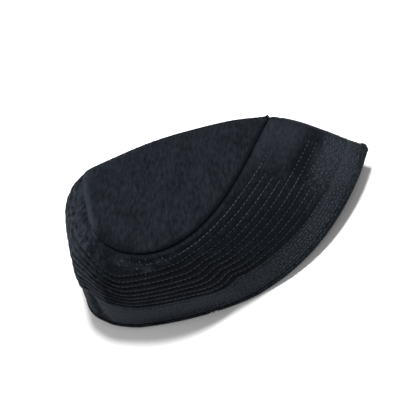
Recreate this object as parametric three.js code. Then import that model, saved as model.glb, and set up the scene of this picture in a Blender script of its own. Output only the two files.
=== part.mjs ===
// A kufi: a soft black velvet cap with a flat teardrop crown and a side band stitched in rows.
// It stands on its rim, pressed long and narrow, so that one end of crown and rim comes to a point.
// Millimetres, +Z up. X runs along the cap with the pointed end at +X, and -Y is the fuller side.

import * as THREE from 'three';
import { ParametricGeometry } from 'three/addons/geometries/ParametricGeometry.js';

// Plan of the crown seam and of the rim. Both start at the pointed end and run round the cap.
// point and blunt are the powers that shape the two ends: over 1 pinches an end, under 1 squares it.
// lag slides the widest place away from the point, and bow pushes both long sides towards -Y.
const CROWN_PLAN = { halfLength: 74, halfWidth: 55, point: 2.35, blunt: 0.55, lag: 0.34, bow: -17, x: 0, y: 0 };
const RIM_PLAN = { halfLength: 120, halfWidth: 58, point: 1.58, blunt: 0.36, lag: 0, bow: -15, x: 7, y: 0 };

// The side band is one strip of cloth, so its height is the same all round the cap.
const BAND_HEIGHT = 87;
// The crown lies nearly level, and its two ends lift a little. The far side of the crown seam, away from
// the fuller side, also stands up softly beside the point. Angles are degrees round the plan.
const END_LIFT = 8;
const FAR_LIFT = { angle: 36, halfAngle: 20, rise: 3.6 };
// The rim gives where it carries the cap: this much of the lowest cloth is pressed flat.
const PRESSED = 3.5;
// How far the band swells out between seam and rim, along the sides and at the blunt end.
const SWELL = { side: 3.4, bluntEnd: 13, height: 0.7 };
// Soft places of the band: a crease across the rows of the fuller side, with the cloth standing proud
// beside it, a fold with its ridge at the near corner of the blunt end, and a hollow at each flank of the
// point.
const SOFT_PLACES = [
  { angle: 276, drop: 48, halfAngle: 5.5, halfDrop: 26, push: -2.2 },
  { angle: 266, drop: 52, halfAngle: 6, halfDrop: 24, push: 1.2 },
  { angle: 201, drop: 66, halfAngle: 4.5, halfDrop: 16, push: -2.4 },
  { angle: 212, drop: 60, halfAngle: 7, halfDrop: 22, push: 1.4 },
  { angle: 322, drop: 42, halfAngle: 10, halfDrop: 28, push: -1.4 },
  { angle: 40, drop: 42, halfAngle: 11, halfDrop: 28, push: -1.4 },
];

// Cloth, with the distance below the crown seam for whatever runs round the band.
const WALL = 2.4;
const ROW = { first: 8, pitch: 6.35, count: 10, puff: 0.8 };
const MARGIN = { top: 2.5, bottom: 5.5 };
const ROLL = { top: BAND_HEIGHT - 5, proud: 1.9 };
const GAP = 0.3;

// Crown panel: a flat cloth with a low dome and an edge that rolls down to the seam.
const PANEL = { thickness: 2.4, dome: 3, overhang: 0.6 };
const CROWN_CENTRE = new THREE.Vector2(-14, -17);

// Steps round the cap, and fine steps used to space them evenly along the cloth.
const STEPS_ROUND = 96;
const FINE_STEPS = 2880;

const fullTurn = 2 * Math.PI;

// A point of a plan outline, in millimetres, moved inwards by inset.
function planPoint(plan, angle, inset = 0) {
  const c = Math.cos(angle);
  const s = Math.sin(angle);
  const power = plan.blunt + (plan.point - plan.blunt) * (1 + c) / 2;
  const across = Math.sign(s) * Math.abs(s) ** power;
  return new THREE.Vector2(
    plan.x + (plan.halfLength - inset) * (c - plan.lag * s * s),
    plan.y + (plan.halfWidth - inset) * across + plan.bow * s * s,
  );
}

// Height of the crown at a place along its length, above the middle.
function crownRise(x) {
  return END_LIFT * (x / CROWN_PLAN.halfLength) ** 2;
}

// How much higher the far side of the crown seam stands.
function farRise(angle) {
  const across = (THREE.MathUtils.radToDeg(angle) - FAR_LIFT.angle) / FAR_LIFT.halfAngle;
  return FAR_LIFT.rise * Math.exp(-(across ** 2));
}

// Height of the rim on the same scale: the band hangs from the crown at its full height.
function rimDrop(angle) {
  const seam = planPoint(CROWN_PLAN, angle);
  const spread = seam.distanceTo(planPoint(RIM_PLAN, angle));
  return crownRise(seam.x) - Math.sqrt(BAND_HEIGHT ** 2 - spread ** 2);
}

const fineAngles = Array.from({ length: FINE_STEPS }, (_, i) => fullTurn * i / FINE_STEPS);
const GROUND = Math.min(...fineAngles.map(rimDrop)) + PRESSED;

function seamPoint(angle, inset = 0) {
  const p = planPoint(CROWN_PLAN, angle, inset);
  const rise = crownRise(planPoint(CROWN_PLAN, angle).x) + farRise(angle);
  return new THREE.Vector3(p.x, p.y, rise - GROUND);
}

function rimPoint(angle, inset = 0) {
  const p = planPoint(RIM_PLAN, angle, inset);
  return new THREE.Vector3(p.x, p.y, Math.max(rimDrop(angle) - GROUND, 0));
}

// Direction straight out of the band's cloth.
function outward(angle) {
  const step = fullTurn / FINE_STEPS;
  const middle = (a) => seamPoint(a).lerp(rimPoint(a), 0.5);
  const along = middle(angle + step).sub(middle(angle - step));
  const up = seamPoint(angle).sub(rimPoint(angle));
  return along.cross(up).normalize();
}

// How far the soft places push the band's cloth out at a spot.
function softPush(angle, drop) {
  const degrees = THREE.MathUtils.radToDeg(angle);
  return SOFT_PLACES.reduce((sum, soft) => {
    const across = (degrees - soft.angle) / soft.halfAngle;
    const along = (drop - soft.drop) / soft.halfDrop;
    return sum + soft.push * Math.exp(-(across ** 2) - along ** 2);
  }, 0);
}

// A point of the band's cloth: drop millimetres below the seam, out millimetres off the cloth's face.
// Inside the cap, where out is negative, both plans shrink instead, so the pinched end stays clean.
function bandPoint(angle, drop, out) {
  const down = drop / BAND_HEIGHT;
  const inset = Math.max(-out, 0);
  const blunt = ((1 - Math.cos(angle)) / 2) ** 2;
  const swell = THREE.MathUtils.lerp(SWELL.side, SWELL.bluntEnd, blunt);
  const arch = swell * Math.sin(Math.PI * down ** SWELL.height);
  const push = arch + softPush(angle, drop) + Math.max(out, 0);
  const point = seamPoint(angle, inset).lerp(rimPoint(angle, inset), down);
  point.addScaledVector(outward(angle), push);
  // The underside of the rim is level from its inner to its outer edge.
  if (drop === BAND_HEIGHT) {
    point.setZ(rimPoint(angle).z);
  }
  return point;
}

// Angles that space the steps evenly along the cloth, starting at the pointed end.
function evenAngles(count) {
  const middle = (a) => seamPoint(a).lerp(rimPoint(a), 0.5);
  const travelled = [0];
  for (let i = 1; i <= FINE_STEPS; i += 1) {
    const a = fullTurn * (i - 1) / FINE_STEPS;
    const b = fullTurn * i / FINE_STEPS;
    travelled.push(travelled[i - 1] + middle(a).distanceTo(middle(b)));
  }
  const total = travelled[FINE_STEPS];
  return Array.from({ length: count }, (_, k) => {
    const index = travelled.findIndex((t) => t >= total * k / count);
    return fullTurn * index / FINE_STEPS;
  });
}

const ANGLES = evenAngles(STEPS_ROUND);

// A ring of cloth with one cross-section all round. The section lists its points down the outer face
// and up the inner one, and is walked the other way, so that the faces point out of the cloth.
function ringGeometry(section) {
  const count = section.length;
  const shape = (u, v, target) => {
    const angle = ANGLES[Math.round(u * STEPS_ROUND) % STEPS_ROUND];
    const { drop, out } = section[(count - Math.round(v * count)) % count];
    target.copy(bandPoint(angle, drop, out));
  };
  return new ParametricGeometry(shape, STEPS_ROUND, count);
}

// Side band: a plain margin under the crown seam, the stitched rows with a puff between each two,
// and a plain hem allowance below them. The inner face is plain.
function bandSection() {
  const outer = [
    { drop: 0, out: 0 },
    { drop: MARGIN.top, out: ROW.puff },
    { drop: MARGIN.bottom, out: ROW.puff },
  ];
  for (let i = 0; i < ROW.count; i += 1) {
    const drop = ROW.first + i * ROW.pitch;
    outer.push({ drop, out: 0 }, { drop: drop + ROW.pitch / 2, out: ROW.puff });
  }
  outer.push({ drop: ROLL.top - GAP, out: ROW.puff });
  const inner = [1, 0.75, 0.5, 0.25, 0].map((share) => ({ drop: share * (ROLL.top - GAP), out: -WALL }));
  return [...outer, ...inner];
}

// Hem: the cloth turned under at the rim, a soft roll with a flat underside.
const HEM_SECTION = [
  { drop: ROLL.top, out: 1.2 },
  { drop: ROLL.top + 2, out: ROLL.proud },
  { drop: BAND_HEIGHT - 0.8, out: 1.5 },
  { drop: BAND_HEIGHT, out: 0.6 },
  { drop: BAND_HEIGHT, out: -2.6 },
  { drop: BAND_HEIGHT - 1, out: -3.4 },
  { drop: ROLL.top + 2, out: -3.6 },
  { drop: ROLL.top, out: -2.8 },
];

// Crown panel: rings from the middle of the underside out to the edge and back over the top.
// reach is the share of the way from the middle to the seam, and over is the height off the underside.
const PANEL_SECTION = [
  { reach: 0, over: 0 },
  { reach: 0.35, over: 0 },
  { reach: 0.7, over: 0 },
  { reach: 1, over: 0 },
  { reach: 1, over: 0.45, out: PANEL.overhang },
  { reach: 1, over: 0.85, out: 0 },
  { reach: 0.95, over: 1 },
  { reach: 0.75, over: 1 },
  { reach: 0.5, over: 1 },
  { reach: 0.25, over: 1 },
  { reach: 0, over: 1 },
];

function panelPoint(angle, { reach, over, out = 0 }) {
  const flat = planPoint(CROWN_PLAN, angle).sub(CROWN_CENTRE).multiplyScalar(reach).add(CROWN_CENTRE);
  const edge = outward(angle).setZ(0).normalize().multiplyScalar(out);
  const dome = PANEL.dome * (1 - reach ** 2);
  const underside = crownRise(flat.x) + farRise(angle) * reach ** 2 - GROUND + GAP + dome;
  return new THREE.Vector3(flat.x + edge.x, flat.y + edge.y, underside + over * PANEL.thickness);
}

function panelGeometry() {
  const shape = (u, v, target) => {
    const angle = ANGLES[Math.round(u * STEPS_ROUND) % STEPS_ROUND];
    const point = PANEL_SECTION[Math.round(v * (PANEL_SECTION.length - 1))];
    target.copy(panelPoint(angle, point));
  };
  return new ParametricGeometry(shape, STEPS_ROUND, PANEL_SECTION.length - 1);
}

function velvet(colour, roughness) {
  return new THREE.MeshStandardMaterial({ color: colour, roughness, metalness: 0 });
}

function piece(name, geometry, material) {
  const mesh = new THREE.Mesh(geometry, material);
  mesh.name = name;
  return mesh;
}

const crownPanel = piece('crown_panel', panelGeometry(), velvet(0x1f2429, 0.95));
const sideBand = piece('side_band', ringGeometry(bandSection()), velvet(0x181d22, 0.9));
const rimHem = piece('rim_hem', ringGeometry(HEM_SECTION), velvet(0x2a2f34, 0.85));

// The cap is centred over the origin, with its rim on the ground.
const kufi = new THREE.Group();
kufi.add(crownPanel, sideBand, rimHem);
const box = new THREE.Box3().setFromObject(kufi);
kufi.position.set(-(box.min.x + box.max.x) / 2, -(box.min.y + box.max.y) / 2, 0);

export default kufi;
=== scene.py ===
# %% [markdown]
# A lesson in modelling a soft velvet kufi. The cap stands on its own rim, pressed long and narrow
# by storage, so one end of its crown and rim comes to a point. It is made of a flat crown, a side
# band stitched in ten rows, and a hem turned under at the rim. The frame gives the places and
# sizes of the three pieces, and this script gives them their cloth, their thread and their
# wrinkles.

# %% Load the frame
import math
import random
from functools import lru_cache

import bmesh
import bpy
from mathutils import Matrix, Vector, noise


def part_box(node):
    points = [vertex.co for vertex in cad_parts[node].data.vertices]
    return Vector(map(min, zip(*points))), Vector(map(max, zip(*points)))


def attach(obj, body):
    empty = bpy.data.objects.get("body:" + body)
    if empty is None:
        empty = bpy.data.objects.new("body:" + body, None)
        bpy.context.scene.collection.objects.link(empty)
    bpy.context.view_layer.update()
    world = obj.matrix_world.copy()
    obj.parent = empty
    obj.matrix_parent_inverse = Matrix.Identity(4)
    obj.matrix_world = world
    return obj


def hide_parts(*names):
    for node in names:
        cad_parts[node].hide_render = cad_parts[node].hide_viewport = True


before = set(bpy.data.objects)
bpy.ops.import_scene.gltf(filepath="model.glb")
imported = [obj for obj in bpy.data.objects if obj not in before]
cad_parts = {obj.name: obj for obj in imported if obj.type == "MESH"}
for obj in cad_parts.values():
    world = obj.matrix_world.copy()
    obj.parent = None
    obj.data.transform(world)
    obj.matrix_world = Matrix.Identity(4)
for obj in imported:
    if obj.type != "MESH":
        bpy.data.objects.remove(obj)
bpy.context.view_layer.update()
print("frame loaded with the nodes", sorted(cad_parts))

# %% [markdown]
# The cap's form comes from two outlines seen from above, the crown seam and the rim, and from the
# height of the strip of cloth between them. These are the sizes that the frame was built from, so
# each cloth lies where its node is; only the puffs stand a little higher here. They are in
# millimetres, as a maker writes them, and a vertex is turned into metres when it is placed.

# %% Driving sizes
MM = 0.001
CROWN_PLAN = dict(
    half_length=74, half_width=55, point=2.35, blunt=0.55, lag=0.34, bow=-17, x=0, y=0)
RIM_PLAN = dict(
    half_length=120, half_width=58, point=1.58, blunt=0.36, lag=0, bow=-15, x=7, y=0)
CROWN_CENTRE = Vector((-14, -17))
BAND_HEIGHT = 87
END_LIFT = 8
FAR_LIFT = dict(angle=36, half_angle=20, rise=3.6)
PRESSED = 3.5
SWELL = dict(side=3.4, blunt_end=13, height=0.7)
WALL = 2.4
ROW = dict(first=8, pitch=6.35, count=10, puff=1.1)
ROLL_TOP = BAND_HEIGHT - 5
PANEL = dict(gap=0.3, thickness=2.4, dome=3, overhang=0.6)
FINE_STEPS = 2880
OUTLINE_STEPS = 720
FULL_TURN = 2 * math.pi
print(ROW["count"], "rows about", ROW["pitch"], "mm apart on a band", BAND_HEIGHT, "mm high")

# %% [markdown]
# An outline is a circle that has been squeezed: a power over 1 pinches one end into a point, and
# a power under 1 squares the other end off. lag slides the widest place away from the point, and
# bow pushes both long sides towards the viewer's side.

# %% Plan outlines and heights
def plan_point(plan, angle, inset=0.0):
    """A point of a plan outline, moved inwards by inset."""
    c = math.cos(angle)
    s = math.sin(angle)
    power = plan["blunt"] + (plan["point"] - plan["blunt"]) * (1 + c) / 2
    across = math.copysign(abs(s) ** power, s)
    x = plan["x"] + (plan["half_length"] - inset) * (c - plan["lag"] * s * s)
    y = plan["y"] + (plan["half_width"] - inset) * across + plan["bow"] * s * s
    return Vector((x, y))


def crown_rise(x):
    """Height of the crown at a place along its length, above the middle."""
    return END_LIFT * (x / CROWN_PLAN["half_length"]) ** 2


def far_rise(angle):
    """How much higher the far side of the crown seam stands, beside the point."""
    across = (math.degrees(angle) - FAR_LIFT["angle"]) / FAR_LIFT["half_angle"]
    return FAR_LIFT["rise"] * math.exp(-(across**2))


def rim_drop(angle):
    """Height of the rim on the same scale: the band hangs from the seam at its full height."""
    seam = plan_point(CROWN_PLAN, angle)
    spread = (seam - plan_point(RIM_PLAN, angle)).length
    return crown_rise(seam.x) - math.sqrt(BAND_HEIGHT**2 - spread**2)


GROUND = min(rim_drop(FULL_TURN * i / FINE_STEPS) for i in range(FINE_STEPS)) + PRESSED


@lru_cache(maxsize=None)
def seam_point(angle, inset=0.0):
    p = plan_point(CROWN_PLAN, angle, inset)
    rise = crown_rise(plan_point(CROWN_PLAN, angle).x) + far_rise(angle)
    return Vector((p.x, p.y, rise - GROUND))


@lru_cache(maxsize=None)
def rim_point(angle, inset=0.0):
    p = plan_point(RIM_PLAN, angle, inset)
    return Vector((p.x, p.y, max(rim_drop(angle) - GROUND, 0)))


@lru_cache(maxsize=None)
def middle_point(angle):
    return seam_point(angle).lerp(rim_point(angle), 0.5)


@lru_cache(maxsize=None)
def outward(angle):
    """Direction straight out of the band's cloth."""
    step = FULL_TURN / FINE_STEPS
    along = middle_point(angle + step) - middle_point(angle - step)
    up = seam_point(angle) - rim_point(angle)
    return along.cross(up).normalized()


print("the crown stands", round(-GROUND), "mm above the surface")

# %% [markdown]
# The frame was centred over its origin, so the outlines have to be slid by the same amount. The
# crown's box in the frame says by how much: it is compared with the box of the crown's edge as
# worked out here.

# %% Slide from the outlines to the frame
def crown_edge(angle):
    """The crown's outermost line, in plan."""
    seam = plan_point(CROWN_PLAN, angle)
    out = outward(angle).to_2d().normalized()
    return seam + out * PANEL["overhang"]


def middle_of(values):
    return (min(values) + max(values)) / 2


edge = [crown_edge(FULL_TURN * i / OUTLINE_STEPS) for i in range(OUTLINE_STEPS)]
low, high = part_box("crown_panel")
SLIDE = Vector((
    (low.x + high.x) / 2 - middle_of([p.x for p in edge]) * MM,
    (low.y + high.y) / 2 - middle_of([p.y for p in edge]) * MM,
    0,
))


def placed(point):
    """A point of the outlines, in millimetres, as a place in the frame, in metres."""
    return point * MM + SLIDE


print("the outlines are slid by", [round(v / MM, 2) for v in SLIDE], "mm")

# %% [markdown]
# Cloth is never quite smooth. Two tables say where the band gives: soft places, where it is
# creased in or out or drawn out to the rim's tip, and brushed and lit places, where the colour is
# paler, from pile brushed flat and from painted sheen and painted highlights, or darker, as painted
# shade, if lift is below zero. Angles are degrees round the plan from the point, and drop is
# millimetres below the crown seam. Between two rows the pile's colour gets a painted highlight on
# its crest and painted shade at the thread.

# %% Soft and brushed places
SOFT_PLACES = [
    dict(angle=276, drop=48, half_angle=5.5, half_drop=26, push=-2.2),
    dict(angle=266, drop=52, half_angle=6, half_drop=24, push=1.2),
    dict(angle=201, drop=66, half_angle=4.5, half_drop=16, push=-2.4),
    dict(angle=212, drop=60, half_angle=7, half_drop=22, push=1.4),
    dict(angle=322, drop=42, half_angle=10, half_drop=28, push=-1.4),
    dict(angle=40, drop=42, half_angle=11, half_drop=28, push=-1.4),
    dict(angle=0, drop=84, half_angle=7, half_drop=14, push=1.7),
]
# Brushed pile and painted light together. The lifts above zero are partly pile brushed flat and
# partly painted sheen and painted highlights, at the blunt end, on the far side and on the ridge at
# the near-left corner. The lifts below zero are painted shade, in the folds at that corner, along
# the crown seam and under the hem's edge.
BRUSHED_AND_PAINTED_LIGHT_PLACES = [
    dict(angle=342, drop=15, half_angle=21, half_drop=18, lift=0.56),
    dict(angle=342, drop=77, half_angle=20, half_drop=14, lift=0.15),
    dict(angle=342, drop=58, half_angle=22, half_drop=12, lift=0.75),
    dict(angle=331, drop=36, half_angle=8, half_drop=6, lift=-0.3),
    dict(angle=318, drop=4, half_angle=30, half_drop=3, lift=0.15),
    dict(angle=272, drop=2.2, half_angle=36, half_drop=1.0, lift=0.3),
    dict(angle=272, drop=4.6, half_angle=36, half_drop=1.0, lift=-0.3),
    dict(angle=186, drop=30, half_angle=26, half_drop=42, lift=0.62),
    dict(angle=201, drop=38, half_angle=9, half_drop=12, lift=0.5),
    dict(angle=208, drop=53, half_angle=6, half_drop=12, lift=0.8),
    dict(angle=213, drop=66, half_angle=6, half_drop=12, lift=0.85),
    dict(angle=220, drop=76, half_angle=10, half_drop=7, lift=0.6),
    dict(angle=240, drop=69, half_angle=32, half_drop=9, lift=0.35),
    dict(angle=200, drop=63, half_angle=3, half_drop=14, lift=-1.4),
    dict(angle=205, drop=79, half_angle=5, half_drop=7, lift=-1.4),
    dict(angle=225, drop=86, half_angle=24, half_drop=4, lift=-1.0),
    dict(angle=246, drop=80, half_angle=18, half_drop=5, lift=-0.3),
    dict(angle=238, drop=8, half_angle=9, half_drop=5, lift=0.5),
    dict(angle=252, drop=12, half_angle=4, half_drop=5, lift=0.45),
    dict(angle=262, drop=7, half_angle=4, half_drop=3, lift=0.5),
    dict(angle=270, drop=5, half_angle=3, half_drop=3, lift=0.4),
    dict(angle=20, drop=34, half_angle=14, half_drop=30, lift=0.45),
    dict(angle=120, drop=50, half_angle=16, half_drop=26, lift=0.35),
]
# Painted sheen on the hem allowance below the last row.
HEM_PAINTED_SHEEN = 0.5
# Painted highlight on the crest of each puff and painted shade down at its thread.
CREST_PAINTED_LIGHT = dict(shine=0.8, shade=0.55)


def turned(angle, degrees):
    """Degrees from a place round the plan to an angle, from -180 to 180."""
    return (math.degrees(angle) - degrees + 180) % 360 - 180


def near(place, angle, drop, power):
    """1 at a place's middle, falling to nothing round it. A high power gives a clear edge."""
    across = turned(angle, place["angle"]) / place["half_angle"]
    along = (drop - place["drop"]) / place["half_drop"]
    return math.exp(-(abs(across) ** power) - abs(along) ** power)


def soft_push(angle, drop):
    return sum(p["push"] * near(p, angle, drop, 2) for p in SOFT_PLACES)


# Paleness at a place from brushed pile and painted light; below zero it is painted shade.
def brushed_and_painted_light(angle, drop):
    return sum(p["lift"] * near(p, angle, drop, 3) for p in BRUSHED_AND_PAINTED_LIGHT_PLACES)


def band_point(angle, drop, out=0.0):
    """A point of the band's cloth: drop below the seam, out off the cloth's face."""
    down = drop / BAND_HEIGHT
    inset = max(-out, 0)
    blunt = ((1 - math.cos(angle)) / 2) ** 2
    swell = SWELL["side"] + (SWELL["blunt_end"] - SWELL["side"]) * blunt
    arch = swell * math.sin(math.pi * down ** SWELL["height"])
    push = arch + soft_push(angle, drop) + max(out, 0)
    point = seam_point(angle, inset).lerp(rim_point(angle, inset), down) + outward(angle) * push
    if drop == BAND_HEIGHT:
        point.z = rim_point(angle).z
    return point


print(len(SOFT_PLACES), "soft places and", len(BRUSHED_AND_PAINTED_LIGHT_PLACES), "brushed places")

# %% [markdown]
# Every ring round the cap has the same number of points, spaced evenly along the cloth. The
# spacing is found by walking the outline in fine steps and noting how far each step has come.

# %% Even steps round the cap
def even_angles(count, drop):
    """Angles that space count points evenly along the cloth at a drop, starting at the point."""
    fine = [FULL_TURN * i / FINE_STEPS % FULL_TURN for i in range(FINE_STEPS + 1)]
    line = [seam_point(a).lerp(rim_point(a), drop / BAND_HEIGHT) for a in fine]
    travelled = [0.0]
    for a, b in zip(line, line[1:]):
        travelled.append(travelled[-1] + (b - a).length)
    angles = []
    step = 0
    for k in range(count):
        goal = travelled[-1] * k / count
        while travelled[step + 1] < goal:
            step += 1
        share = (goal - travelled[step]) / (travelled[step + 1] - travelled[step])
        angles.append(FULL_TURN * (step + share) / FINE_STEPS)
    return angles, travelled[-1]


BAND_STEPS = 960
BAND_ANGLES, MIDDLE_LENGTH = even_angles(BAND_STEPS, BAND_HEIGHT / 2)
RIM_LENGTH = even_angles(2, BAND_HEIGHT)[1]

# %% [markdown]
# The band is a tube of cloth, and one way to make it is to draw one ring and extrude it again and
# again, down the outer face and up the inner one, and then to bridge the last ring to the first.
# Each vertex carries the number of its step in a layer, which an extrusion copies, so the new
# ring can be moved into place without asking which vertex came from which.

# %% Helper that sweeps rings into a closed cloth
def sweep(steps, rings, place, closed=True):
    """A mesh of rings. place(step, ring) gives the vertex's point in the frame."""
    bm = bmesh.new()
    step_of = bm.verts.layers.int.new("step")
    ring_of = bm.verts.layers.int.new("ring")
    circle = bmesh.ops.create_circle(bm, segments=steps, radius=1)
    for i, v in enumerate(circle["verts"]):
        v[step_of] = i
        v.co = place(i, 0)
    edges = bm.edges[:]
    first = edges
    for ring in range(1, rings):
        made = bmesh.ops.extrude_edge_only(bm, edges=edges)["geom"]
        edges = [g for g in made if isinstance(g, bmesh.types.BMEdge)]
        for v in (g for g in made if isinstance(g, bmesh.types.BMVert)):
            v[ring_of] = ring
            v.co = place(v[step_of], ring)
    if closed:
        bmesh.ops.bridge_loops(bm, edges=first + edges)
    return bm, step_of, ring_of


def unwrap(bm, step_of, ring_of, steps, across, down):
    """A UV map in metres: across(step) runs round the cap, down(ring) from crown to rim."""
    uv = bm.loops.layers.uv.new("cloth")
    for face in bm.faces:
        wraps = max(l.vert[step_of] for l in face.loops) == steps - 1
        for loop in face.loops:
            step = loop.vert[step_of]
            if wraps and step == 0:
                step = steps
            loop[uv].uv = (across(step) * MM, down(loop.vert[ring_of]) * MM)


def finished(name, bm, recalculate=True):
    """Turns a bmesh into an object at the origin, smooth and with its faces pointing out."""
    if recalculate:
        bmesh.ops.recalc_face_normals(bm, faces=bm.faces)
    for face in bm.faces:
        face.smooth = True
    mesh = bpy.data.meshes.new(name)
    bm.to_mesh(mesh)
    bm.free()
    piece = bpy.data.objects.new(name, mesh)
    bpy.context.scene.collection.objects.link(piece)
    triangles = sum(len(p.vertices) - 2 for p in mesh.polygons)
    print(name, "has", triangles, "triangles")
    return piece


# %% [markdown]
# The rows of stitching were sewn parallel, and storage has pulled them out of line: they sag at
# the blunt end, where the cloth buckles, and a crease lifts them sharply. A table gives the first
# and the last row at a few places round the cap. bunch under 1 crowds the lower rows together.

# %% Where the rows run
ROW_PLACES = [
    dict(angle=0, first=11, last=66, bunch=1.0),
    dict(angle=60, first=9, last=65, bunch=1.0),
    dict(angle=130, first=8, last=65, bunch=1.0),
    dict(angle=185, first=11, last=63, bunch=1.0),
    dict(angle=202, first=8, last=51, bunch=0.9),
    dict(angle=214, first=10, last=55, bunch=0.85),
    dict(angle=228, first=13, last=60, bunch=0.78),
    dict(angle=246, first=9.5, last=58.5, bunch=0.88),
    dict(angle=257, first=8.5, last=59.5, bunch=0.95),
    dict(angle=268, first=8, last=62.5, bunch=1.0),
    dict(angle=282, first=6.8, last=61.5, bunch=1.0),
    dict(angle=292, first=7.2, last=63.3, bunch=1.0),
    dict(angle=306, first=8.5, last=66, bunch=1.0),
    dict(angle=322, first=11, last=67, bunch=1.0),
    dict(angle=345, first=12, last=67, bunch=1.0),
]
SOFTENING = (-4, -2, 0, 2, 4)
CREASE = dict(angle=275, half_angle=4.5, share=0.035)
ROW_WANDER = 0.35


@lru_cache(maxsize=None)
def row_line(angle):
    """First row, last row and bunching at an angle, read off the table and softened a little."""
    total = dict(first=0.0, last=0.0, bunch=0.0)
    for offset in SOFTENING:
        at = (math.degrees(angle) + offset) % 360
        after = next((i for i, p in enumerate(ROW_PLACES) if p["angle"] > at), 0)
        low, high = ROW_PLACES[after - 1], ROW_PLACES[after]
        share = (at - low["angle"]) / ((high["angle"] - low["angle"]) % 360)
        for name in total:
            total[name] += (low[name] * (1 - share) + high[name] * share) / len(SOFTENING)
    return total


def wander(row, angle):
    """How far a row of stitching strays, because it was sewn by eye."""
    slow = math.sin(3 * angle + 1.7 * row)
    quick = math.sin(8 * angle + 2.9 * row)
    return ROW_WANDER * (0.65 * slow + 0.35 * quick)


def row_drop(row, angle):
    line = row_line(angle)
    share = (row / (ROW["count"] - 1)) ** line["bunch"]
    even = line["first"] + (line["last"] - line["first"]) * share
    lifted = max(0, 1 - abs(turned(angle, CREASE["angle"])) / CREASE["half_angle"])
    return even * (1 - CREASE["share"] * lifted) + wander(row, angle)


def channel_drop(place_in_rows, angle):
    """The drop of a place given in rows, such as 2.5 for midway between rows 2 and 3."""
    row = math.floor(place_in_rows)
    share = place_in_rows - row
    below = min(row + 1, ROW["count"] - 1)
    return row_drop(row, angle) * (1 - share) + row_drop(below, angle) * share


last_row = [round(row_drop(ROW["count"] - 1, math.radians(a)), 1) for a in (230, 275, 300)]
print("last row", last_row, "mm below the seam")

# %% [markdown]
# Between two rows the pile stands up in a soft puff, and the thread pulls the cloth down into a
# valley. Towards the point the thread stops, row by row, and the cloth there lies smooth.
# ROW_ENDS says at how many degrees each row stops.

# %% Puffs, margin and hem allowance
ROW_ENDS = [330, 319, 319, 319, 345, 345, 322, 322, 321, 321]
FADE = 5
BUCKLED = dict(
    angle=190, half_angle=32, more=0.6, ripple=0.55, ripple_scale=0.18, mottle=0.9,
    mottle_scale=0.27)
VALLEY = 0.15
UNHELD = 0.8
PUFF = dict(roundness=0.7, uneven=0.25, uneven_scale=0.09)
MARGIN = dict(puff=0.9, roundness=0.6, ripple=0.18, ripple_scale=0.16)
HEM = dict(puff=0.7, arch=0.6, roundness=0.6, lip=0.45)
SEAM_GROOVE = dict(angle=300, half_angle=58, deep=0.7, shallow=0.3, painted_shade=0.4)


def from_point(angle):
    """Degrees from the cap's point, on whichever side is nearer."""
    return abs(turned(angle, 0))


def groove_share(angle):
    """1 where the crown seam lies in a clear groove, 0 where it is hard to see."""
    return math.exp(-(turned(angle, SEAM_GROOVE["angle"]) / SEAM_GROOVE["half_angle"]) ** 6)


def groove(angle):
    """How far below the crown seam the band's cloth stays flat."""
    shallow = SEAM_GROOVE["shallow"]
    return shallow + (SEAM_GROOVE["deep"] - shallow) * groove_share(angle)


def buckled(angle):
    """1 at the blunt end, where the cloth is crumpled, 0 elsewhere."""
    return math.exp(-(turned(angle, BUCKLED["angle"]) / BUCKLED["half_angle"]) ** 4)


def held_down(place_in_rows, angle):
    """1 where a row's thread holds the cloth down, 0 where the thread has stopped."""
    row = min(round(place_in_rows), ROW["count"] - 1)
    past = from_point(angle) - (360 - ROW_ENDS[row])
    return min(max(past / FADE + 0.5, 0), 1)


def puff(place_in_rows, angle):
    """How far the pile stands out at a place in the rows."""
    share = place_in_rows - math.floor(place_in_rows)
    held = held_down(place_in_rows, angle)
    arch = math.sin(math.pi * share) ** PUFF["roundness"] * held + UNHELD * (1 - held)
    drop = channel_drop(place_in_rows, angle)
    where = band_point(angle, drop)
    uneven = 1 + PUFF["uneven"] * noise.noise(where * PUFF["uneven_scale"])
    crumple = buckled(angle)
    ripple = BUCKLED["ripple"] * crumple * noise.noise(where * BUCKLED["ripple_scale"])
    return VALLEY + ROW["puff"] * arch * uneven * (1 + BUCKLED["more"] * crumple) + ripple


def margin_out(angle, drop):
    """The plain margin swells to a soft rib between the seam's groove and the first row."""
    ripple = MARGIN["ripple"] * noise.noise(band_point(angle, drop) * MARGIN["ripple_scale"])
    share = (drop - groove(angle)) / (row_drop(0, angle) - groove(angle))
    rib = math.sin(math.pi * min(max(share, 0), 1)) ** MARGIN["roundness"]
    return (MARGIN["puff"] + ripple) * rib


def hem_out(angle, drop):
    """The hem allowance below the last row, which rises to the roll at its foot."""
    last = row_drop(ROW["count"] - 1, angle)
    share = (drop - last) / (ROLL_TOP - last)
    share = min(max(share, 0), 1)
    held = held_down(ROW["count"] - 1, angle)
    rise = HEM["puff"] * math.sin(math.pi * share * HEM["arch"]) ** HEM["roundness"]
    loose = UNHELD * ROW["puff"] * (1 - share) + HEM["puff"] * share
    return VALLEY + rise * held + loose * (1 - held) + HEM["lip"] * share**6


def cloth_out(angle, drop):
    """How far the cloth's face stands out at any drop above the hem roll."""
    first = row_drop(0, angle)
    last = row_drop(ROW["count"] - 1, angle)
    if drop <= first:
        return margin_out(angle, drop)
    if drop >= last:
        return hem_out(angle, drop)
    share = ((drop - first) / (last - first)) ** (1 / row_line(angle)["bunch"])
    return puff(share * (ROW["count"] - 1), angle)


print("the thread of the rows stops between", min(ROW_ENDS), "and", max(ROW_ENDS), "degrees")

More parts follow.
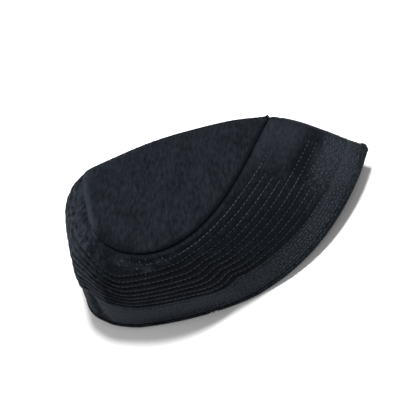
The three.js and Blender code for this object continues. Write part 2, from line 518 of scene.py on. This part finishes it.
# %% Outer and inner face of the band
CHANNEL_RINGS = 7
OUTER = [("edge", 0.0)] + [("margin", share) for share in (0.08, 0.17, 0.26, 0.4, 0.55, 0.72, 0.88)]
for channel in range(ROW["count"] - 1):
    OUTER += [("row", channel + ring / CHANNEL_RINGS) for ring in range(CHANNEL_RINGS)]
OUTER += [("row", ROW["count"] - 1)]
OUTER += [("hem", share) for share in (0.08, 0.18, 0.32, 0.5, 0.68, 0.84, 0.94, 1.0)]
INNER = [("inner", share) for share in (1, 0.85, 0.7, 0.55, 0.4, 0.25, 0.1, 0)]
BAND_RINGS = OUTER + INNER
BAND_FOOT = ROLL_TOP - 0.3


def ring_drop(ring, angle):
    kind, value = BAND_RINGS[ring]
    if kind == "margin":
        return value * row_drop(0, angle)
    if kind == "row":
        return channel_drop(value, angle)
    if kind == "hem":
        last = row_drop(ROW["count"] - 1, angle)
        return last + value * (BAND_FOOT - last)
    return value * BAND_FOOT


def ring_point(step, ring):
    angle = BAND_ANGLES[step]
    kind, value = BAND_RINGS[ring]
    drop = ring_drop(ring, angle)
    if kind == "inner":
        return placed(band_point(angle, drop, -WALL))
    if kind == "row":
        return placed(band_point(angle, drop, puff(value, angle)))
    return placed(band_point(angle, drop, 0.0 if kind == "edge" else cloth_out(angle, drop)))


bm, step_of, ring_of = sweep(BAND_STEPS, len(BAND_RINGS), ring_point)
unwrap(
    bm, step_of, ring_of, BAND_STEPS,
    lambda step: MIDDLE_LENGTH * step / BAND_STEPS,
    lambda ring: ring_drop(ring, 0),
)
pile_and_light_of = bm.verts.layers.float.new("brushed_and_painted_light")
inside_of = bm.verts.layers.float.new("inside")
for v in bm.verts:
    kind = BAND_RINGS[v[ring_of]][0]
    angle = BAND_ANGLES[v[step_of]]
    drop = ring_drop(v[ring_of], angle)
    # pale sums the brushed pile, the painted light and painted shade, and the random mottle of the
    # blunt end.
    pale = brushed_and_painted_light(angle, drop)
    if kind == "row":
        place_in_rows = BAND_RINGS[v[ring_of]][1]
        # Painted highlight on each puff's crest and painted shade at the thread.
        crest_painted_light = CREST_PAINTED_LIGHT["shine"] * math.sin(math.pi * (place_in_rows % 1)) - CREST_PAINTED_LIGHT["shade"]
        pale *= 1 + crest_painted_light * held_down(place_in_rows, angle)
    elif kind == "hem":
        # Painted sheen: the hem allowance is painted paler.
        pale += HEM_PAINTED_SHEEN
    # Painted shade: the cloth in the groove under the crown seam is darkened.
    elif drop < groove(angle):
        pale -= SEAM_GROOVE["painted_shade"] * groove_share(angle)
    mottle = noise.noise(band_point(angle, drop) * BUCKLED["mottle_scale"])
    pale += BUCKLED["mottle"] * buckled(angle) * mottle
    v[pile_and_light_of] = pale
    v[inside_of] = 1.0 if kind == "inner" else 0.0
band_cloth = finished("band_cloth", bm)

# %% [markdown]
# At the rim the cloth is turned under and oversewn, which leaves a soft roll with a bead for each
# stitch. The roll is swept like the band, from a short list of places round its section.

# %% Hem roll
HEM_SECTION = [
    dict(drop=ROLL_TOP, out=1.3),
    dict(drop=ROLL_TOP + 0.4, out=1.65),
    dict(drop=ROLL_TOP + 1.6, out=1.95),
    dict(drop=ROLL_TOP + 3.0, out=1.95),
    dict(drop=BAND_HEIGHT - 0.8, out=1.5),
    dict(drop=BAND_HEIGHT - 0.25, out=1.05),
    dict(drop=BAND_HEIGHT, out=0.5),
    dict(drop=BAND_HEIGHT, out=-1.0),
    dict(drop=BAND_HEIGHT, out=-2.6),
    dict(drop=BAND_HEIGHT - 1, out=-3.4),
    dict(drop=ROLL_TOP + 2, out=-3.6),
    dict(drop=ROLL_TOP + 0.5, out=-3.3),
    dict(drop=ROLL_TOP, out=-2.8),
]
HEM_STEPS = 1440
BEAD = dict(pitch=2.25, swell=0.7, least_out=0.5)
NOTCH = dict(angle=256, half_angle=1.3, depth=1.3, least_out=0.4)
HEM_ANGLES, _ = even_angles(HEM_STEPS, BAND_HEIGHT)
BEADS = round(RIM_LENGTH / BEAD["pitch"])


def hem_place(step, ring):
    section = HEM_SECTION[ring]
    out = section["out"]
    if out > BEAD["least_out"]:
        out += BEAD["swell"] * (abs(math.sin(math.pi * BEADS * step / HEM_STEPS)) - 0.5)
        notch = math.exp(-(turned(HEM_ANGLES[step], NOTCH["angle"]) / NOTCH["half_angle"]) ** 2)
        out = max(out - NOTCH["depth"] * notch, NOTCH["least_out"])
    return placed(band_point(HEM_ANGLES[step], section["drop"], out))


bm, step_of, ring_of = sweep(HEM_STEPS, len(HEM_SECTION), hem_place)
unwrap(
    bm, step_of, ring_of, HEM_STEPS,
    lambda step: RIM_LENGTH * step / HEM_STEPS,
    lambda ring: HEM_SECTION[ring]["drop"],
)
# The hem roll takes the same brushed pile and painted light, with the painted shade under the hem's
# edge.
pile_and_light_of = bm.verts.layers.float.new("brushed_and_painted_light")
for v in bm.verts:
    v[pile_and_light_of] = brushed_and_painted_light(HEM_ANGLES[v[step_of]], HEM_SECTION[v[ring_of]]["drop"])
hem_roll = finished("hem_roll", bm)

# %% [markdown]
# The crown is one flat cloth, a teardrop in plan. Its edge rolls down to the seam, its middle
# stands in a low dome, and it dips softly along the fuller side. It is swept as rings too, from
# the middle of its underside out to the edge and back over the top, and both middles are merged
# to one point.

# %% Crown cloth
CROWN_STEPS = 480
CROWN_ANGLES, _ = even_angles(CROWN_STEPS, 0)
CROWN_SOFT = [
    dict(x=40, y=-26, half_x=26, half_y=9, turn=38, push=-1.0),
    dict(x=-58, y=-50, half_x=12, half_y=14, turn=0, push=-0.8),
    dict(x=48, y=2, half_x=20, half_y=9, turn=-28, push=0.9),
    dict(x=-20, y=20, half_x=30, half_y=14, turn=8, push=0.5),
    dict(x=-66, y=-10, half_x=8, half_y=30, turn=0, push=0.5),
]
CROWN_WAVE = dict(height=0.25, scale=0.05, seed=3.1)
CROWN_FADE = 12
TINY_REACH = 0.004
UNDER_RINGS = [TINY_REACH, 0.5, 0.9, 1.0]
NEAR_EDGE = [1.0 - 0.03 * k for k in range(1, 6)]
TOP_RINGS = NEAR_EDGE + [0.82 - 0.04 * k for k in range(20)] + [TINY_REACH]
EDGE_RINGS = [
    dict(over=0.2, out=0.45), dict(over=0.45, out=0.65),
    dict(over=0.7, out=0.45), dict(over=0.9, out=0.05),
]
# Painted light on the crown's cloth: a painted highlight along its left and far edges, and painted
# shade in the dip at its near-left corner and along its near edge beside the seam.
CROWN_PAINTED_LIGHT = [
    dict(angle=176, reach=1.0, half_angle=32, half_reach=0.05, lift=0.95),
    dict(angle=226, reach=0.97, half_angle=26, half_reach=0.07, lift=-0.3),
    dict(angle=312, reach=1.0, half_angle=46, half_reach=0.025, lift=-0.35),
    dict(angle=120, reach=1.0, half_angle=40, half_reach=0.06, lift=0.25),
]
CROWN_LEAN = 0.2
CROWN_RINGS = (
    [dict(reach=r, over=0, out=0) for r in UNDER_RINGS]
    + [dict(reach=1.0, **e) for e in EDGE_RINGS]
    + [dict(reach=r, over=1, out=0) for r in TOP_RINGS]
)


def crown_push(x, y):
    """Height that the soft places of the crown add at a place in plan."""
    scale = CROWN_WAVE["scale"]
    total = CROWN_WAVE["height"] * noise.noise(Vector((x * scale, y * scale, CROWN_WAVE["seed"])))
    for place in CROWN_SOFT:
        turn = math.radians(place["turn"])
        dx = x - place["x"]
        dy = y - place["y"]
        along = (dx * math.cos(turn) + dy * math.sin(turn)) / place["half_x"]
        across = (dy * math.cos(turn) - dx * math.sin(turn)) / place["half_y"]
        total += place["push"] * math.exp(-(along**2) - across**2)
    return total


def crown_place(step, ring):
    spot = CROWN_RINGS[ring]
    angle = CROWN_ANGLES[step]
    flat = CROWN_CENTRE.lerp(plan_point(CROWN_PLAN, angle), spot["reach"])
    out = outward(angle).to_2d().normalized() * spot["out"]
    dome = PANEL["dome"] * (1 - spot["reach"] ** 2)
    seat = crown_rise(flat.x) + far_rise(angle) * spot["reach"] ** 2 - GROUND
    z = seat + PANEL["gap"] + dome + spot["over"] * PANEL["thickness"]
    if spot["over"] == 1:
        z += crown_push(flat.x, flat.y) * min((1 - spot["reach"]) * CROWN_FADE, 1)
    return placed(Vector((flat.x + out.x, flat.y + out.y, z)))


def crown_lean_and_painted_light(angle, reach):
    """How far the crown's pile leans at a share of the way from its middle to the seam, plus the
    painted highlight and painted shade at its edges.
    """
    total = CROWN_LEAN
    for place in CROWN_PAINTED_LIGHT:
        across = turned(angle, place["angle"]) / place["half_angle"]
        along = (reach - place["reach"]) / place["half_reach"]
        total += place["lift"] * math.exp(-(across**4) - along**2)
    return total


bm, step_of, ring_of = sweep(CROWN_STEPS, len(CROWN_RINGS), crown_place, closed=False)
pile_and_light_of = bm.verts.layers.float.new("brushed_and_painted_light")
for v in bm.verts:
    v[pile_and_light_of] = crown_lean_and_painted_light(CROWN_ANGLES[v[step_of]], CROWN_RINGS[v[ring_of]]["reach"])
for end in (0, len(CROWN_RINGS) - 1):
    tip = [v for v in bm.verts if v[ring_of] == end]
    centre = sum((v.co for v in tip), Vector()) / len(tip)
    bmesh.ops.pointmerge(bm, verts=tip, merge_co=centre)
crown_cloth = finished("crown_cloth", bm)

# %% [markdown]
# Thread. A stitch is a short bit of thread that dips into the cloth at both ends, so a stretched
# ball of a few faces stands for it. It could be drawn by a shader, but real stitches keep their
# shape at the cap's outline and catch the light one by one. SUNK says where the puffs hide them,
# JOIN where a thread was taken down across the rows, and FRAY where short ends lie loose under the
# crown seam.

# %% Helpers that sew stitches
STITCH_SIDES = 6
STITCH_RINGS = 4
STITCHES_AT_ONCE = 24


def stitch_matrix(centre, along, up, half_length, half_width, half_height):
    """Where one stitch lies: a ball of radius 1 is stretched along a direction and put in place."""
    side = up.cross(along).normalized()
    top = along.cross(side).normalized()
    turn = Matrix((along.normalized(), side, top)).transposed().to_4x4()
    size = Matrix.Diagonal((half_length * MM, half_width * MM, half_height * MM, 1))
    return Matrix.Translation(placed(centre)) @ turn @ size @ Matrix.Rotation(math.pi / 2, 4, "Y")


def sewn(name, matrices, sides=STITCH_SIDES, rings=STITCH_RINGS):
    """One piece of many stitches. They are made a few at a time and then added to the whole,
    because an operator slows down as its bmesh grows."""
    whole = bmesh.new()
    for start in range(0, len(matrices), STITCHES_AT_ONCE):
        few = bmesh.new()
        for matrix in matrices[start:start + STITCHES_AT_ONCE]:
            bmesh.ops.create_uvsphere(
                few, u_segments=sides, v_segments=rings, radius=1, matrix=matrix)
        mesh = bpy.data.meshes.new("few stitches")
        few.to_mesh(mesh)
        few.free()
        whole.from_mesh(mesh)
        bpy.data.meshes.remove(mesh)
    print(name, "has", len(matrices), "stitches")
    return finished(name, whole, recalculate=False)


# %% Stitches of the ten rows
STITCH_PITCH = 3.4
STITCH = dict(
    half_length=1.5, half_width=0.29, half_height=0.26, lift=0.16, dot=0.6,
    uneven_lift=0.06, uneven_drop=0.12, uneven_length=0.25)
UNEVEN = dict(stride=0.83, row_stride=5.7, seed=2.5)
HIDDEN_BY_PILE = dict(lift=0.12, length=0.5)
SUNK = [
    dict(angle=234, half_angle=26, first_row=0, last_row=9, depth=0.1),
    dict(angle=210, half_angle=36, first_row=0, last_row=0, depth=0.28),
]
DOTS_FROM = 322
SMALL_TURN = 0.004
LOOSE_HALF_WIDTH = 0.24
JOIN = dict(
    angle=255, drop=4, far_angle=247, far_drop=22, count=5, half_length=1.0, shorter=0.3,
    slant=0.5, sink=0.1)
FRAY = dict(
    angle=249, half_angle=16, drop=5, far_drop=13, count=16, short=0.8, long=1.8, slant=1.6,
    back_slant=0.5, sink=0.05, seed=7)


def along_row(row, angle):
    """Direction of a row of stitching at an angle."""
    behind = band_point(angle - SMALL_TURN, row_drop(row, angle - SMALL_TURN))
    return band_point(angle + SMALL_TURN, row_drop(row, angle + SMALL_TURN)) - behind


def loose_end(angle, drop, sink, way, half_length):
    """A bit of thread that lies free on the cloth, sunk a little into its pile."""
    centre = band_point(angle, drop, cloth_out(angle, drop) - sink)
    return stitch_matrix(
        centre, way, outward(angle), half_length, LOOSE_HALF_WIDTH, LOOSE_HALF_WIDTH)


matrices = []
for row in range(ROW["count"]):
    drop = ROW["first"] + ROW["pitch"] * row
    count = round(even_angles(2, drop)[1] / STITCH_PITCH)
    angles, _ = even_angles(count, drop)
    for k, angle in enumerate(angles):
        if from_point(angle) < 360 - ROW_ENDS[row]:
            continue
        drop = row_drop(row, angle)
        pale = min(max(brushed_and_painted_light(angle, drop), 0), 1)
        uneven = noise.noise(Vector((
            k * UNEVEN["stride"], row * UNEVEN["row_stride"], UNEVEN["seed"])))
        sunk = sum(
            p["depth"] * math.exp(-(turned(angle, p["angle"]) / p["half_angle"]) ** 4)
            for p in SUNK if p["first_row"] <= row <= p["last_row"])
        lift = STITCH["lift"] - HIDDEN_BY_PILE["lift"] * pale - sunk
        lift += STITCH["uneven_lift"] * uneven
        centre = band_point(angle, drop + STITCH["uneven_drop"] * uneven, VALLEY + lift)
        half = STITCH["half_length"] * (1 - HIDDEN_BY_PILE["length"] * pale)
        half *= 1 + STITCH["uneven_length"] * uneven
        if from_point(angle) < 360 - DOTS_FROM:
            half *= STITCH["dot"]
        matrices.append(stitch_matrix(
            centre, along_row(row, angle), outward(angle), half,
            STITCH["half_width"], STITCH["half_height"]))
for k in range(JOIN["count"]):
    share = k / (JOIN["count"] - 1)
    angle = math.radians(JOIN["angle"] * (1 - share) + JOIN["far_angle"] * share)
    drop = JOIN["drop"] * (1 - share) + JOIN["far_drop"] * share
    lower = band_point(angle - SMALL_TURN, drop + JOIN["slant"])
    way = lower - band_point(angle + SMALL_TURN, drop - JOIN["slant"])
    half = JOIN["half_length"] - JOIN["shorter"] * (k % 2)
    matrices.append(loose_end(angle, drop, JOIN["sink"], way, half))
rng = random.Random(FRAY["seed"])
for k in range(FRAY["count"]):
    angle = math.radians(FRAY["angle"] + rng.uniform(-1, 1) * FRAY["half_angle"])
    drop = rng.uniform(FRAY["drop"], FRAY["far_drop"])
    slant = rng.uniform(-FRAY["back_slant"], 1) * FRAY["slant"]
    way = band_point(angle - SMALL_TURN, drop + slant) - band_point(angle + SMALL_TURN, drop)
    half = rng.uniform(FRAY["short"], FRAY["long"])
    matrices.append(loose_end(angle, drop, FRAY["sink"], way, half))
row_stitches = sewn("row_stitches", matrices)

# %% [markdown]
# Below the last row the hem allowance is held down by tiers of short stitches, which is why it
# looks paler and speckled from a distance. They stand upright near the blunt end and lie along
# the rim elsewhere, and at the point they fill the place of the lower rows too. Two more are the
# ends of a thread that hang out of the notch. The cloth under the tiers is painted paler as well,
# as a painted sheen.

# %% Stitches of the hem
HEM_TIERS = dict(lowest=83.3, pitch=2.55, count=15, below_rows=1.9, overrun=0.5)
HEM_PITCH = 2.05
HEM_STITCH = dict(
    half_length=0.74, half_width=0.42, half_height=0.34, lift=0.05,
    uneven_length=0.25, uneven_turn=0.35)
UPRIGHT = dict(
    angle=240, half_angle=22, less_aside=0.6, less_down=0.5, longer=0.3, bolder=0.25)
POINT_SPECKLE = dict(within=38, drop=46, ragged=5)
STRAY = dict(missing=0.1, aside=0.45, down=0.4, down_at_point=1.3, seed=11)
ROLL_FACE = 1.75
TAIL = dict(threads=((84.0, 0.5), (85.6, -0.4)), half_length=1.3, half_width=0.4)


def speckled(angle, drop, ragged):
    """Whether a short stitch lies at a place. ragged, from -1 to 1, frays the edge at the point."""
    if drop > row_drop(ROW["count"] - 1, angle) + HEM_TIERS["below_rows"]:
        return True
    fringe = POINT_SPECKLE["ragged"] * ragged
    at_point = from_point(angle) < POINT_SPECKLE["within"] + fringe
    return at_point and drop > POINT_SPECKLE["drop"] + fringe


rng = random.Random(STRAY["seed"])
matrices = []
for tier in range(HEM_TIERS["count"]):
    drop = HEM_TIERS["lowest"] - HEM_TIERS["pitch"] * tier
    count = round(even_angles(2, drop)[1] / HEM_PITCH)
    angles, _ = even_angles(count, drop)
    for k, angle in enumerate(angles):
        standing = math.exp(-(turned(angle, UPRIGHT["angle"]) / UPRIGHT["half_angle"]) ** 4)
        aside = rng.uniform(-1, 1) * STRAY["aside"] * (1 - UPRIGHT["less_aside"] * standing)
        angle += FULL_TURN / count * ((tier % 2) / 2 * (1 - standing) + aside)
        uneven = rng.uniform(-1, 1)
        at_point = from_point(angle) < POINT_SPECKLE["within"]
        stray = STRAY["down_at_point"] if at_point else STRAY["down"]
        spot = drop + stray * rng.uniform(-1, 1) * (1 - UPRIGHT["less_down"] * standing)
        spot = min(spot, HEM_TIERS["lowest"] + HEM_TIERS["overrun"])
        if rng.random() < STRAY["missing"] or not speckled(angle, spot, rng.uniform(-1, 1)):
            continue
        out = ROLL_FACE if spot > ROLL_TOP else cloth_out(angle, spot)
        centre = band_point(angle, spot, out + HEM_STITCH["lift"])
        down = (band_point(angle, spot + 1) - band_point(angle, spot - 1)).normalized()
        ahead = band_point(angle + SMALL_TURN, spot)
        along = (ahead - band_point(angle - SMALL_TURN, spot)).normalized()
        way = down * (standing + HEM_STITCH["uneven_turn"] * uneven) + along * (1 - standing)
        half = HEM_STITCH["half_length"] * (
            1 + HEM_STITCH["uneven_length"] * uneven + UPRIGHT["longer"] * standing)
        bold = 1 + UPRIGHT["bolder"] * standing
        matrices.append(stitch_matrix(
            centre, way, outward(angle), half,
            HEM_STITCH["half_width"] * bold, HEM_STITCH["half_height"] * bold))
tail = math.radians(NOTCH["angle"])
for drop, lean in TAIL["threads"]:
    centre = band_point(tail, drop, ROLL_FACE)
    down = band_point(tail + lean * SMALL_TURN * 2, drop + 1) - band_point(tail, drop - 1)
    matrices.append(stitch_matrix(
        centre, down, outward(tail), TAIL["half_length"], TAIL["half_width"], TAIL["half_width"]))
hem_stitches = sewn("hem_stitches", matrices)

# %% [markdown]
# Where the crown seam closes on itself, at the point, its thread is knotted and a small knot
# stands up.

# %% Knot at the point
KNOT = dict(back=0.4, rise=2.4, lean=0.15, half_height=1.1, half_width=0.7)
centre = seam_point(0.0) + Vector((-KNOT["back"], 0, KNOT["rise"]))
knot = stitch_matrix(
    centre, Vector((KNOT["lean"], 0, 1)), Vector((1, 0, 0)),
    KNOT["half_height"], KNOT["half_width"], KNOT["half_width"])
seam_knot = sewn("seam_knot", [knot], sides=16, rings=10)

# %% [markdown]
# Materials. Velvet is black because light falls between its upright fibres and does not come
# back. Where the pile leans over it shows the fibres' sides, and looks paler and greyer. One node
# group makes that mix from a mask and two scales of noise, and every cloth of the cap uses it. The
# mask holds brushed pile and painted light: painted sheen and highlights lean it towards the pale
# colour, and painted shade holds it at the black one.

# %% Helpers for node trees
def set_inputs(node, values):
    """Sets some inputs of a node by their names."""
    for name, value in values.items():
        node.inputs[name].default_value = value


def value_input(tree, name, kind, default):
    socket = tree.interface.new_socket(name=name, in_out="INPUT", socket_type=kind)
    socket.default_value = default


def noise_node(tree, vector, scale, detail, roughness=0.5):
    node = tree.nodes.new("ShaderNodeTexNoise")
    set_inputs(node, {"Scale": scale, "Detail": detail, "Roughness": roughness})
    tree.links.new(vector, node.inputs["Vector"])
    return node.outputs["Fac"]


def math_node(tree, operation, first, second, clamp=False):
    node = tree.nodes.new("ShaderNodeMath")
    node.operation = operation
    node.use_clamp = clamp
    for socket, value in zip(node.inputs, (first, second)):
        if isinstance(value, (int, float)):
            socket.default_value = value
        else:
            tree.links.new(value, socket)
    return node.outputs[0]


def range_node(tree, value, low, high, to_low, to_high):
    node = tree.nodes.new("ShaderNodeMapRange")
    set_inputs(node, {"From Min": low, "From Max": high, "To Min": to_low, "To Max": to_high})
    tree.links.new(value, node.inputs["Value"])
    return node.outputs[0]


def mix_node(tree, share, first, second):
    """A blend of two colours. Each is a socket, or three numbers."""
    node = tree.nodes.new("ShaderNodeMix")
    node.data_type = "RGBA"
    tree.links.new(share, node.inputs["Factor"])
    for name, colour in (("A", first), ("B", second)):
        if isinstance(colour, tuple):
            node.inputs[name].default_value = (*colour, 1)
        else:
            tree.links.new(colour, node.inputs[name])
    return node.outputs["Result"]


def new_material(name):
    """A new material, its node tree and its shader."""
    material = bpy.data.materials.new(name)
    material.use_nodes = True
    return material, material.node_tree, material.node_tree.nodes["Principled BSDF"]


# %% Node group for velvet pile
PATCHES = dict(scale=60, detail=3, roughness=0.6)
FLECKS = dict(scale=420, detail=3, roughness=0.7)
FIBRES = dict(scale=2600, detail=2, roughness=0.6)
FLECK_HEIGHT = 0.6
pile = bpy.data.node_groups.new("velvet_pile", "ShaderNodeTree")
value_input(pile, "Upright Pile And Painted Shade Colour", "NodeSocketColor", (0.01, 0.012, 0.014, 1))
value_input(pile, "Leaning Pile And Painted Sheen Colour", "NodeSocketColor", (0.03, 0.033, 0.038, 1))
value_input(pile, "Brushed And Painted Light", "NodeSocketFloat", 0.0)
value_input(pile, "Patchiness", "NodeSocketFloat", 0.5)
value_input(pile, "Vector", "NodeSocketVector", (0, 0, 0))
pile.interface.new_socket(name="Colour", in_out="OUTPUT", socket_type="NodeSocketColor")
pile.interface.new_socket(name="Roughness", in_out="OUTPUT", socket_type="NodeSocketFloat")
pile.interface.new_socket(name="Height", in_out="OUTPUT", socket_type="NodeSocketFloat")
entry = pile.nodes.new("NodeGroupInput")
leave = pile.nodes.new("NodeGroupOutput")
given = entry.outputs
patches = range_node(pile, noise_node(pile, given["Vector"], **PATCHES), 0.35, 0.65, -0.2, 0.2)
flecks = range_node(pile, noise_node(pile, given["Vector"], **FLECKS), 0.3, 0.7, -1, 1)
fibres = noise_node(pile, given["Vector"], **FIBRES)
both = math_node(pile, "ADD", patches, flecks)
strewn = math_node(pile, "MULTIPLY", both, given["Patchiness"])
# lean is the random patches and flecks plus brushed pile and painted light; painted shade clamps it
# to 0.
lean = math_node(pile, "ADD", strewn, given["Brushed And Painted Light"], clamp=True)
blend = mix_node(pile, lean, given["Upright Pile And Painted Shade Colour"], given["Leaning Pile And Painted Sheen Colour"])
pile.links.new(blend, leave.inputs["Colour"])
pile.links.new(range_node(pile, lean, 0, 1, 0.95, 0.7), leave.inputs["Roughness"])
relief = math_node(pile, "MULTIPLY", flecks, FLECK_HEIGHT)
pile.links.new(math_node(pile, "ADD", fibres, relief), leave.inputs["Height"])
print("node group velvet_pile made")

# %% Materials of the cloths
# BLACK is the upright pile's colour, which painted shade also takes; PALE is the leaning pile's
# colour, which painted sheen and painted highlights also take.
BLACK = (0.0027, 0.0037, 0.0053)
PALE = (0.0178, 0.0215, 0.0274)
REVERSE = (0.013, 0.015, 0.018)
SHEEN = {"Sheen Weight": 0.03, "Sheen Roughness": 0.4, "Sheen Tint": (0.6, 0.75, 1.0, 1)}
NAP = dict(turn=78, stretch=2.6)
PILE_RELIEF = {"Strength": 0.5, "Distance": 0.3 * MM}
THREAD_SHADES = dict(dark=0.5, pale=1.5, scale=300, rougher=0.1)


def velvet(name, patchiness, lean=0.0, inside=None):
    """A velvet. lean shifts the attribute of brushed pile and painted light, inside is its
    reverse's plain colour.
    """
    material, tree, shader = new_material(name)
    set_inputs(shader, {**SHEEN, "Specular IOR Level": 0.05})
    group = tree.nodes.new("ShaderNodeGroup")
    group.node_tree = pile
    set_inputs(group, {
        "Upright Pile And Painted Shade Colour": (*BLACK, 1), "Leaning Pile And Painted Sheen Colour": (*PALE, 1), "Patchiness": patchiness})
    coordinates = tree.nodes.new("ShaderNodeTexCoord")
    nap = tree.nodes.new("ShaderNodeMapping")
    nap.vector_type = "TEXTURE"
    set_inputs(nap, {
        "Rotation": (0, 0, math.radians(NAP["turn"])), "Scale": (NAP["stretch"], 1, 1)})
    tree.links.new(coordinates.outputs["Object"], nap.inputs["Vector"])
    tree.links.new(nap.outputs["Vector"], group.inputs["Vector"])
    attribute = tree.nodes.new("ShaderNodeAttribute")
    attribute.attribute_name = "brushed_and_painted_light"
    tree.links.new(
        math_node(tree, "ADD", attribute.outputs["Fac"], lean), group.inputs["Brushed And Painted Light"])
    colour = group.outputs["Colour"]
    if inside:
        reverse = tree.nodes.new("ShaderNodeAttribute")
        reverse.attribute_name = "inside"
        colour = mix_node(tree, reverse.outputs["Fac"], colour, inside)
    tree.links.new(colour, shader.inputs["Base Color"])
    tree.links.new(group.outputs["Roughness"], shader.inputs["Roughness"])
    relief = tree.nodes.new("ShaderNodeBump")
    set_inputs(relief, PILE_RELIEF)
    tree.links.new(group.outputs["Height"], relief.inputs["Height"])
    tree.links.new(relief.outputs["Normal"], shader.inputs["Normal"])
    return material


def thread(name, colour, roughness):
    """A matt thread, which is a little paler and rougher in some places than in others."""
    material, tree, shader = new_material(name)
    set_inputs(shader, {"Specular IOR Level": 0.25})
    coordinates = tree.nodes.new("ShaderNodeTexCoord")
    shade = noise_node(tree, coordinates.outputs["Object"], THREAD_SHADES["scale"], 2)
    dark = tuple(c * THREAD_SHADES["dark"] for c in colour)
    pale = tuple(c * THREAD_SHADES["pale"] for c in colour)
    tree.links.new(mix_node(tree, shade, dark, pale), shader.inputs["Base Color"])
    rougher = THREAD_SHADES["rougher"]
    tree.links.new(
        range_node(tree, shade, 0, 1, roughness - rougher, roughness + rougher),
        shader.inputs["Roughness"])
    return material


band_cloth.data.materials.append(velvet("band velvet", 0.25, inside=REVERSE))
crown_cloth.data.materials.append(velvet("crown velvet", 0.25))
hem_roll.data.materials.append(velvet("hem velvet", 0.3, lean=0.25))
row_stitches.data.materials.append(thread("row thread", (0.033, 0.04, 0.049), 0.6))
hem_stitches.data.materials.append(thread("hem thread", (0.022, 0.026, 0.032), 0.8))
seam_knot.data.materials.append(thread("knot thread", (0.006, 0.0075, 0.01), 0.8))
print("six materials given")

# %% [markdown]
# Each piece rides on the frame's one body, and the frame's own pieces are hidden. The crown and
# the band are sheets of cloth; the band's flat size is printed: what it measured when it was cut.

# %% Tie the pieces to the frame
for piece in (band_cloth, crown_cloth, hem_roll, row_stitches, hem_stitches, seam_knot):
    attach(piece, "root")
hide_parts("side_band")
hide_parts("crown_panel")
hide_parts("rim_hem")
print("band cut", round(RIM_LENGTH), "by", BAND_HEIGHT, "mm")

# %% [markdown]
# The surface and the light. The cap lies on a plain pale surface, under a strong soft light that
# stands high up, a little to the right and behind. It gives the pile its shader sheen, beside the
# sheen painted into its colour, and lays the shadow on the left and near side. Two weak lights
# fill in the near side.

# %% Floor
FLOOR_HALF_SIZE = 6
bm = bmesh.new()
bmesh.ops.create_grid(bm, x_segments=1, y_segments=1, size=FLOOR_HALF_SIZE)
floor = finished("floor", bm, recalculate=False)
paint, _, shader = new_material("pale floor")
set_inputs(shader, {"Base Color": (0.9, 0.9, 0.9, 1), "Roughness": 0.8})
floor.data.materials.append(paint)

# %% Lights
LIT_PLACE = Vector((0, 0, 0.04))


def soft_light(name, place, size, power):
    data = bpy.data.lights.new(name, "AREA")
    data.shape = "DISK"
    data.size = size
    data.energy = power
    light = bpy.data.objects.new(name, data)
    light.location = place
    light.rotation_euler = (LIT_PLACE - Vector(place)).to_track_quat("-Z", "Y").to_euler()
    bpy.context.scene.collection.objects.link(light)


soft_light("key light", (0.41, 0.17, 1.7), size=0.45, power=52)
soft_light("front fill", (0.3, -1.5, 1.3), size=1.4, power=9)
soft_light("left fill", (-1.3, 0.3, 0.8), size=1.0, power=5)
world = bpy.data.worlds.new("studio")
world.use_nodes = True
set_inputs(world.node_tree.nodes["Background"], {"Color": (1, 1, 1, 1), "Strength": 0.27})
bpy.context.scene.world = world
bpy.context.scene.view_settings.view_transform = "Standard"
print("one floor, three soft lights and a pale studio")

# %% [markdown]
# The camera stands where the photograph was taken from: in front of the cap and above it, rolled
# a good deal to one side, so that the cap runs uphill across the picture.

# %% Camera
VIEW = dict(
    azimuth=11.31, elevation=42.12, roll=32.17, distance=1045.5, focal=1389.6,
    right=-5.4, down=-7.1)
FRAME_PIXELS = 416
SENSOR = 36
TARGET = Vector((0, 0, 40))
azimuth = math.radians(VIEW["azimuth"])
elevation = math.radians(VIEW["elevation"])
roll = math.radians(VIEW["roll"])
back = Vector((
    math.sin(azimuth) * math.cos(elevation),
    -math.cos(azimuth) * math.cos(elevation),
    math.sin(elevation),
))
level = Vector((math.cos(azimuth), math.sin(azimuth), 0))
upright = back.cross(level)
right = math.cos(roll) * level - math.sin(roll) * upright
up = math.sin(roll) * level + math.cos(roll) * upright
lens = bpy.data.cameras.new("camera")
lens.sensor_width = SENSOR
lens.lens = VIEW["focal"] * SENSOR / FRAME_PIXELS
lens.shift_x = -VIEW["right"] / FRAME_PIXELS
lens.shift_y = VIEW["down"] / FRAME_PIXELS
camera = bpy.data.objects.new("camera", lens)
aim = Matrix((right, up, back)).transposed().to_4x4()
camera.matrix_world = Matrix.Translation(placed(TARGET + back * VIEW["distance"])) @ aim
bpy.context.scene.collection.objects.link(camera)
bpy.context.scene.camera = camera
print("camera", round(VIEW["distance"]), "mm away with a", round(lens.lens), "mm lens")
